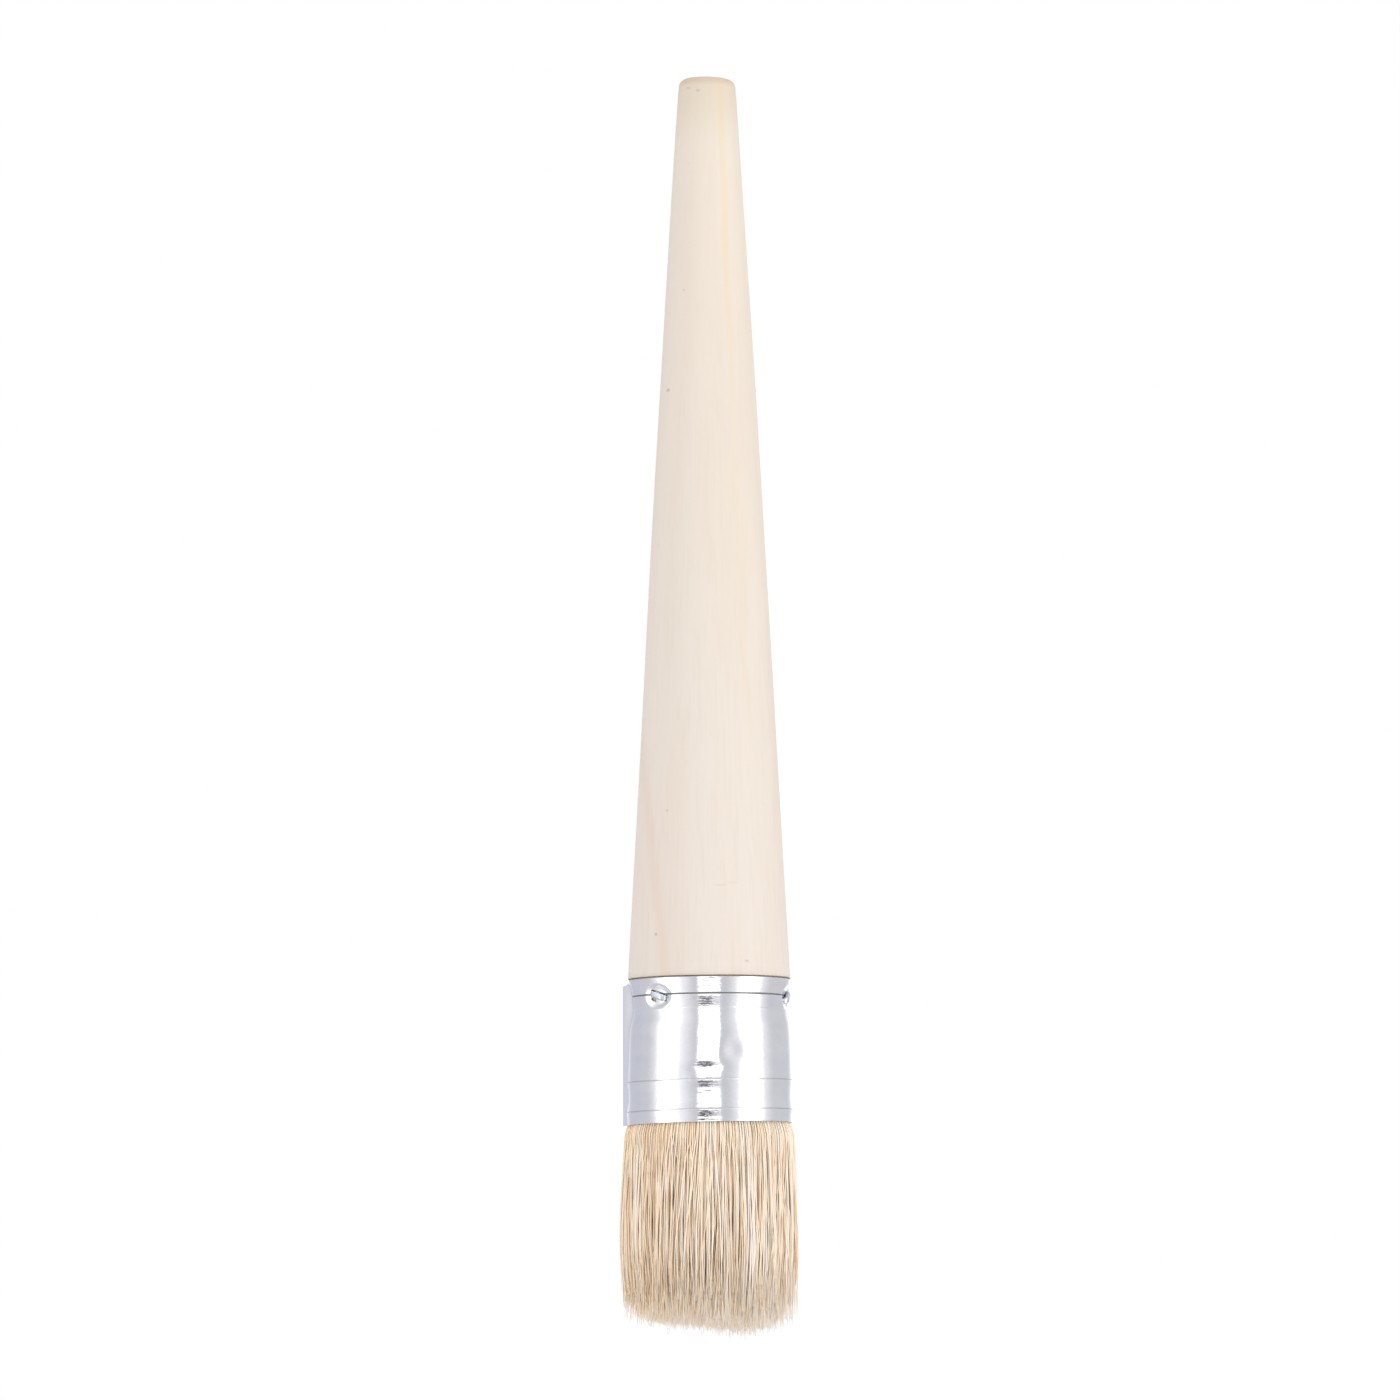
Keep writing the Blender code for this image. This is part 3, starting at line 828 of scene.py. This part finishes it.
def resin():
    """Cured amber resin, uneven and glossy."""
    made, graph, shader, place = new_material("amber_resin")
    cloud = graph.noise(place, RESIN_CLOUD_SCALE, detail=4.0, roughness=0.6)
    colour = graph.mix(graph.step(cloud, 0.3, 0.75), RESIN_COLOUR, RESIN_CLOUD_COLOUR)
    graph.feed(shader.inputs["Base Color"], colour)
    graph.feed(shader.inputs["Roughness"], graph.step(cloud, 0.3, 0.8, 0.2, 0.4))
    graph.feed(shader.inputs["Normal"], graph.bump(cloud, 0.1 * MM, 0.4))
    return made


def setting():
    """The cup of resin round the roots, which opens downwards."""
    low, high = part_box("resin_setting")
    radius = high.x
    middle = radius * CUP_MIDDLE
    floor_height = high.z - CUP_FLOOR
    rows = [
        (middle, high.z),
        (radius - CUP_ROUNDING, high.z),
        (radius, high.z - CUP_ROUNDING),
        (radius, low.z + CUP_EDGE),
        (radius - CUP_WALL / 2, low.z),
        (radius - CUP_WALL, low.z + CUP_EDGE),
        (radius - CUP_WALL, floor_height - CUP_FILLET),
        (radius - 2 * CUP_WALL, floor_height),
        (middle, floor_height),
    ]
    radii, heights = np.array(rows).T
    angles = np.arange(0, 360, CUP_COLUMN_ANGLE)[:, None]
    points = turned(angles, radii, heights)
    faces = lattice_faces(len(angles), len(rows), rows_close=False)
    made = mesh_object("resin_cup", points.reshape(-1, 3), faces, [resin()])
    close_ends(made)
    adopt(made, "handle_body", "resin_setting")


# Bristles. Drops are below the ferrule's mouth.

EXIT_RADIUS = MOUTH_RADIUS - SHEET - 0.15 * MM
ROOT_DROP = -6.0 * MM
NECK_DROP = 2.6 * MM
NECK_RADIUS = 14.9 * MM
BELLY_RADIUS = 15.38 * MM
BELLY_DROP = 19.6 * MM
HEAD_SHIFT = -0.2 * MM  # the head leans a little to the left
TUCK = 0.8 * MM  # how far the outermost bristles lean back in below the belly
TUCK_LENGTH = 14.0 * MM
BRISTLE_LENGTH = 35.75 * MM
TIP_STEP = 1.2 * MM  # the tips were cut a little askew, shorter at the left
TIP_ROUNDING = 6.2 * MM
TIP_POWER = 6
LENGTH_NOISE = 0.65 * MM
SHORT_SHARE = 0.1  # of the bristles, which are shorter by so many mm
SHORT_BY = (1, 9)
CORE_SHARE = 0.34
RINGS = {  # shares of the head's radius that a ring spans, and its number of locks
    "core": (0.0, CORE_SHARE, 1),
    "middle": (CORE_SHARE, 0.67, 6),
    "outer": (0.67, 1.0, 12),
}
BRISTLES_PER_LOCK = {"core": 420, "middle": 260, "outer": 420}
GOLDEN = 0.618034  # spreads the roots evenly
ROOT_SPREAD = 0.03
EXIT_ALONG = 0.035  # the entry of ALONG where a bristle comes out of the ferrule
ALONG = (0.0, EXIT_ALONG, 0.06, 0.1, 0.16, 0.26, 0.38, 0.5, 0.62, 0.74, 0.85, 0.93, 1.0)

# Bristles gather in clumps towards their tips, and lean and wave on their own
CLUMP_SIZE = 11
CLUMP_PULL = (0.1, 0.65)
CLUMP_LENGTH = 30 * MM
CLUMP_LEAN = 0.012
OWN_LEAN = 0.03
WILD_SHARE = 0.09
WILD_LEAN = 2.6  # times as much
LEAN_START = 7 * MM  # how far below the mouth leaning and waving take to set in
WAVE_START = 8 * MM
WAVES = ((1.1, 0.16 * MM), (2.6, 0.07 * MM))  # waves in a bristle's length, and their size
STRAY_SHARE = 0.03
STRAY_REACH = 0.6  # share that is left of what reaches past the head, in a stray and in the rest
TAME_REACH = 0.15

BRISTLE_SIDES = 4
BRISTLE_RADIUS = 0.134 * MM
BRISTLE_RADIUS_RANGE = (0.72, 1.25)
TAPER = 0.12  # from the root to most of the way down
TAPER_END = 0.8
TIP_TAPER = 0.6  # and on from there to the tip
TIP_TAPER_START = 0.72

# The shades run from tan to cream. A bristle's tone is in steps from one shade to the next.
SHADES = (
    (0.75, 0.505, 0.30),
    (0.81, 0.585, 0.375),
    (0.865, 0.67, 0.465),
    (0.91, 0.745, 0.56),
    (0.92, 0.79, 0.632),
    (0.92, 0.825, 0.705),
    (0.92, 0.85, 0.762),
    (0.92, 0.87, 0.80),
)
MIDDLE_SHADE = 4.1
TONE_NOISE = 1.15
CLUMP_TONE_NOISE = 0.3
TONE_TO_RIGHT = 0.7  # the head is paler at its right
TONE_LIMIT = 2.7
STRETCH_NOISE = 0.35  # from one stretch of a bristle to the next
ROOT_TONE = -0.3
ROOT_TONE_LENGTH = 4 * MM
TIP_TONE = 0.7
TIP_TONE_LENGTH = 36 * MM
# Painted shade: the bristles inside the head are made browner, so the gaps between the outer ones
# look like warm shade
INNER_SHADE_TONE = 3.0  # how much browner the bristles inside the head are
INNER_SHARE = 0.96  # where they start, and how much further in they take to be that brown
INNER_SOFTNESS = 0.12
INNER_END = 25 * MM  # the tips are as pale inside as outside
INNER_FADE = 11 * MM


def bristle_materials():
    """Natural hog bristle varies from one to the next: one finish for each shade of it."""
    made = []
    for number, shade in enumerate(SHADES, 1):
        finish, graph, shader, _ = new_material(f"bristle_shade_{number}")
        graph.feed(shader.inputs["Base Color"], rgb(*shade))
        graph.feed(shader.inputs["Roughness"], 0.46 - 0.012 * number)
        graph.feed(shader.inputs["Specular IOR Level"], 0.05 + 0.013 * number)
        made.append(finish)
    return made


def head_radius(drop):
    """Radius of the whole head of bristles at drops below the ferrule's mouth."""
    below_exit = np.clip(drop / NECK_DROP, 0, 1)
    neck = EXIT_RADIUS + (NECK_RADIUS - EXIT_RADIUS) * np.sin(np.pi / 2 * below_exit)
    below_neck = np.clip((drop - NECK_DROP) / (BELLY_DROP - NECK_DROP), 0, 1)
    swell = (BELLY_RADIUS - NECK_RADIUS) * np.sin(np.pi / 2 * below_neck)
    return neck + swell - TUCK * smooth((drop - BELLY_DROP) / TUCK_LENGTH)


def bristle_lines(random, ring, number):
    """A lock's middle lines as (bristle, point, xyz), their radii, their tones and their drops."""
    inner, outer, locks = RINGS[ring]
    count = BRISTLES_PER_LOCK[ring]
    place = (np.arange(count) + random.uniform(0, 1, count)) / count
    share = np.sqrt(inner**2 + (outer**2 - inner**2) * place)
    spread = np.arange(count) * GOLDEN + random.uniform(0, ROOT_SPREAD, count)
    turn = math.tau / locks * (number + spread % 1)
    start = np.stack([share * np.cos(turn), share * np.sin(turn)], axis=-1)

    clumps = max(count // CLUMP_SIZE, 1)
    centre = start[random.choice(count, clumps, replace=False)]
    nearest = np.argmin(((start[:, None, :] - centre[None, :, :]) ** 2).sum(-1), axis=1)
    pull = random.uniform(*CLUMP_PULL, clumps)[nearest]
    clump_lean = random.normal(0, CLUMP_LEAN, (clumps, 2))[nearest]

    length = BRISTLE_LENGTH - TIP_ROUNDING * share**TIP_POWER
    length += random.normal(0, LENGTH_NOISE, count)
    length -= TIP_STEP * smooth(0.6 - 1.6 * start[:, 0])
    short = random.uniform(0, 1, count) < SHORT_SHARE
    length = np.where(short, length - random.uniform(*SHORT_BY, count) * MM, length)
    along = np.array(ALONG)[None, :]
    inside = (-ROOT_DROP / (length - ROOT_DROP))[:, None]
    outside = inside + (1 - inside) * (along - EXIT_ALONG) / (1 - EXIT_ALONG)
    grow = np.where(along < EXIT_ALONG, 0.0, outside)
    drop = ROOT_DROP + (length - ROOT_DROP)[:, None] * grow
    free = np.clip(drop, 0, None)

    gather = pull[:, None] * smooth(free / CLUMP_LENGTH)
    unit = start[:, None, :] + (centre[nearest] - start)[:, None, :] * gather[..., None]
    flat = unit * head_radius(drop)[..., None]
    own_lean = random.normal(0, OWN_LEAN, (count, 2))
    wild = random.uniform(0, 1, count) < WILD_SHARE
    own_lean[wild] *= WILD_LEAN
    lean = (clump_lean + own_lean)[:, None, :]
    flat += free[..., None] * lean * smooth(free / LEAN_START)[..., None]
    for waves, size in WAVES:
        phase = random.uniform(0, math.tau, (count, 1, 2))
        strength = random.normal(0, size, (count, 1, 2))
        turns = math.tau * waves * (drop / BRISTLE_LENGTH)[..., None]
        wave = strength * (np.sin(turns + phase) - np.sin(phase))
        flat += wave * smooth(free / WAVE_START)[..., None]

    # Nothing strays far outside the head, apart from a few bristles
    reach = np.linalg.norm(flat, axis=-1)
    limit = head_radius(drop)
    stray = random.uniform(0, 1, count) < STRAY_SHARE
    spare = np.where(stray, STRAY_REACH, TAME_REACH)[:, None]
    kept = np.where(reach > limit, limit + (reach - limit) * spare, reach)
    kept = np.where(drop < 0, np.minimum(kept, EXIT_RADIUS), kept)
    flat *= (kept / np.maximum(reach, 1e-9))[..., None]
    flat[..., 0] += HEAD_SHIFT * smooth(free / BELLY_DROP)
    lines = np.concatenate([flat, (Z_MOUTH - drop)[..., None]], axis=-1)

    thick = BRISTLE_RADIUS * random.uniform(*BRISTLE_RADIUS_RANGE, count)
    tip_taper = TIP_TAPER * smooth((grow - TIP_TAPER_START) / (1 - TIP_TAPER_START))
    radii = thick[:, None] * (1 - TAPER * smooth(grow / TAPER_END) - tip_taper)
    tone = random.normal(0.0, TONE_NOISE, count)
    tone = tone + random.normal(0, CLUMP_TONE_NOISE, clumps)[nearest] + TONE_TO_RIGHT * start[:, 0]
    tone = np.clip(tone, -TONE_LIMIT, TONE_LIMIT)
    # Painted shade: bristles inside the head take a browner tone, which fades out towards the tips
    inner_shade = smooth((INNER_SHARE - share) / INNER_SOFTNESS)[:, None]
    inner_shade = inner_shade * (1 - smooth((free - INNER_END) / INNER_FADE))
    return lines, radii, tone[:, None] - INNER_SHADE_TONE * inner_shade, free


def bristle_shades(random, tone, free):
    """Which shade each stretch of each bristle has: browner near the root, paler at the tip."""
    middle = (free[:, 1:] + free[:, :-1]) / 2
    at_root = ROOT_TONE * (1 - smooth(middle / ROOT_TONE_LENGTH))
    lengthwise = at_root + TIP_TONE * smooth(middle / TIP_TONE_LENGTH)
    uneven = random.normal(0, STRETCH_NOISE, middle.shape)
    shade = MIDDLE_SHADE + tone[:, 1:] + lengthwise + uneven
    return np.clip(np.round(shade), 0, len(SHADES) - 1).astype(int)


def lock(ring, number, finishes):
    """One lock of bristles, each a thin closed tube."""
    random = np.random.default_rng(1000 * len(ring) + number)  # each lock has its own seed
    lines, radii, tone, free = bristle_lines(random, ring, number)
    shades = bristle_shades(random, tone, free)
    count, rows, _ = lines.shape
    sides = BRISTLE_SIDES
    turn = math.tau * (np.arange(sides)[None, :] / sides + random.uniform(0, 1, (count, 1)))
    ray = np.stack([np.cos(turn), np.sin(turn), np.zeros_like(turn)], axis=-1)
    points = lines[:, :, None, :] + radii[:, :, None, None] * ray[:, None, :, :]
    base = (np.arange(count) * rows * sides)[:, None, None]
    above = base + np.arange(rows - 1)[None, :, None] * sides
    side = np.arange(sides)[None, None, :]
    after = (side + 1) % sides
    quads = np.stack(
        [above + side, above + sides + side, above + sides + after, above + after], axis=-1
    )
    indices = np.broadcast_to(shades[:, :, None], (count, rows - 1, sides)).reshape(-1)
    first = base[:, 0, :] + np.arange(sides)[None, :]
    last = first + (rows - 1) * sides
    faces = np.concatenate([quads.reshape(-1, 4), first, last[:, ::-1]])
    indices = np.concatenate([indices, shades[:, 0], shades[:, -1]])
    node = f"bristles_{ring}_{number + 1:02d}"
    made = mesh_object(f"{node}_hair", points.reshape(-1, 3), faces, finishes, indices)
    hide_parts(node)
    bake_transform(made)


def bristles():
    """The whole head, lock by lock."""
    finishes = bristle_materials()
    for ring, (_, _, locks) in RINGS.items():
        for number in range(locks):
            lock(ring, number, finishes)


# Stage

CAMERA_DISTANCE = 1.5
CAMERA_HEIGHT = -0.1402
CAMERA_SIDE = -0.0015
AIM_HEIGHT = -0.0105
VIEW_HEIGHT = 0.2471  # of the frame, where the brush is
CAMERA_ROLL = -0.13
SENSOR = 36.0
FLOOR_HEIGHT = CAMERA_HEIGHT - 2.6 * MM
FLOOR_RADIUS = 1.0
FLOOR_FADE = (0.25, 0.95)
FLOOR_COLOUR = rgb(0.93, 0.93, 0.93)

# The light from round the brush. Each of these covers the ones before it, where it shines.
LOW_LIGHT = rgb(0.64, 0.64, 0.67)
HIGH_LIGHT = rgb(0.68, 0.68, 0.72)
MATT_LIGHT = rgb(0.68, 0.625, 0.59)  # what matt surfaces get in place of both
TOP_LIGHT = rgb(1.85, 1.85, 1.85)
HALO_LIGHT = rgb(1.1, 1.1, 1.1)
PANELS = (  # soft edges of a halo and of its panel, as (0 at, 1 at) angles, and the panel's light
    (((22, 50), (104, 70)), ((38, 68), (86, 50)), rgb(3.8, 3.77, 3.67)),
    (((-17, -48), (-100, -66)), ((-38, -66), (-86, -60)), rgb(1.9, 1.9, 1.9)),
)
COOL_LIGHT = rgb(0.61, 0.62, 0.69)
REAR_LIGHT = rgb(1.3, 1.3, 1.32)
FRONT_LIGHT = rgb(1.8, 1.8, 1.8)
SHADE_LIGHT = rgb(0.62, 0.62, 0.64)
FIGURE_LIGHT = rgb(0.15, 0.15, 0.16)


def camera():
    """A long way off in front, a little below the tips, and turned up to the brush's middle."""
    data = bpy.data.cameras.new("camera")
    place = Vector((CAMERA_SIDE, -CAMERA_DISTANCE, CAMERA_HEIGHT))
    aim = Vector((CAMERA_SIDE, 0.0, AIM_HEIGHT))
    data.sensor_width = SENSOR
    data.lens = SENSOR * (aim - place).length / VIEW_HEIGHT
    made = bpy.data.objects.new("camera", data)
    bpy.context.scene.collection.objects.link(made)
    turn = (aim - place).to_track_quat("-Z", "Y").to_matrix().to_4x4()
    roll = Matrix.Rotation(math.radians(CAMERA_ROLL), 4, "Z")
    made.matrix_world = Matrix.Translation(place) @ turn @ roll
    bpy.context.scene.camera = made


def floor():
    """A pale disc under the brush, which fades out before its edge."""
    shape = bmesh.new()
    bmesh.ops.create_circle(shape, cap_ends=True, segments=96, radius=FLOOR_RADIUS)
    mesh = bpy.data.meshes.new("floor")
    shape.to_mesh(mesh)
    shape.free()
    made = bpy.data.objects.new("floor", mesh)
    made.location.z = FLOOR_HEIGHT
    bpy.context.scene.collection.objects.link(made)
    paint = bpy.data.materials.new("floor")
    paint.use_nodes = True
    paint.node_tree.nodes.clear()
    graph = Graph(paint.node_tree)
    place = graph.add("ShaderNodeTexCoord").outputs["Object"]
    reach = graph.vector("LENGTH", place).outputs["Value"]
    matt = graph.add("ShaderNodeBsdfDiffuse", {"Color": FLOOR_COLOUR}).outputs[0]
    clear = graph.add("ShaderNodeBsdfTransparent").outputs[0]
    inputs = {0: graph.step(reach, *FLOOR_FADE), 1: matt, 2: clear}
    faded = graph.add("ShaderNodeMixShader", inputs).outputs[0]
    graph.add("ShaderNodeOutputMaterial", {"Surface": faded})
    mesh.materials.append(paint)
    made.visible_glossy = False


def studio():
    """White for the camera. For the rest, softboxes round the brush, at directions from it."""
    world = bpy.data.worlds.new("studio")
    bpy.context.scene.world = world
    world.use_nodes = True
    world.node_tree.nodes.clear()
    graph = Graph(world.node_tree)
    x, y, z = graph.parts(graph.add("ShaderNodeTexCoord").outputs["Generated"])
    around = graph.math("DEGREES", graph.math("ARCTAN2", x, graph.product(y, -1.0)))
    above = graph.math("DEGREES", graph.math("ARCSINE", z))

    def band(value, middle, half, soft):
        """1 within half of the middle, falling to 0 over a soft edge."""
        off = graph.gap(value, middle)
        return graph.step(off, half - soft / 2, half + soft / 2, 1.0, 0.0)

    def between(edges):
        """1 between two soft edges round the brush."""
        return graph.product(*(graph.step(around, *edge) for edge in edges))

    path = graph.add("ShaderNodeLightPath").outputs
    light = graph.mix(graph.step(above, -70, 60), LOW_LIGHT, HIGH_LIGHT)
    light = graph.mix(path["Is Diffuse Ray"], light, MATT_LIGHT)
    light = graph.mix(graph.step(above, 48, 75), light, TOP_LIGHT)
    tall = band(above, 5, 58, 24)
    for halo, panel, glow in PANELS:
        light = graph.mix(graph.product(between(halo), tall), light, HALO_LIGHT)
        light = graph.mix(graph.product(between(panel), tall), light, glow)
    lower = band(above, 5, 50, 20)
    cool = graph.step(around, -100, -125)
    light = graph.mix(graph.product(cool, lower), light, COOL_LIGHT)
    rear = graph.step(graph.math("ABSOLUTE", around), 140, 172)
    light = graph.mix(graph.product(rear, lower), light, REAR_LIGHT)

    # The light beside the camera, with the dark shape of whoever holds it underneath
    middle = band(around, -0.5, 15.5, 5)
    light = graph.mix(graph.product(middle, band(above, 2, 29, 5)), light, FRONT_LIGHT)
    shade = band(above, -9, 6, 6)
    light = graph.mix(graph.product(middle, shade), light, SHADE_LIGHT)
    figure = graph.product(band(around, -6, 9.5, 8), shade)
    light = graph.mix(figure, light, FIGURE_LIGHT)
    lit = graph.add("ShaderNodeBackground", {"Color": light}).outputs[0]
    white = graph.add("ShaderNodeBackground", {"Color": rgb(1.0, 1.0, 1.0)}).outputs[0]
    inputs = {0: path["Is Camera Ray"], 1: lit, 2: white}
    both = graph.add("ShaderNodeMixShader", inputs).outputs[0]
    graph.add("ShaderNodeOutputWorld", {"Surface": both})


def main():
    bpy.context.scene.view_settings.view_transform = "Standard"
    camera()
    studio()
    floor()
    handle()
    ferrule()
    wire = staple_wire()
    for name in STAPLE_ANGLES:
        staple(name, wire)
    setting()
    bristles()


main()
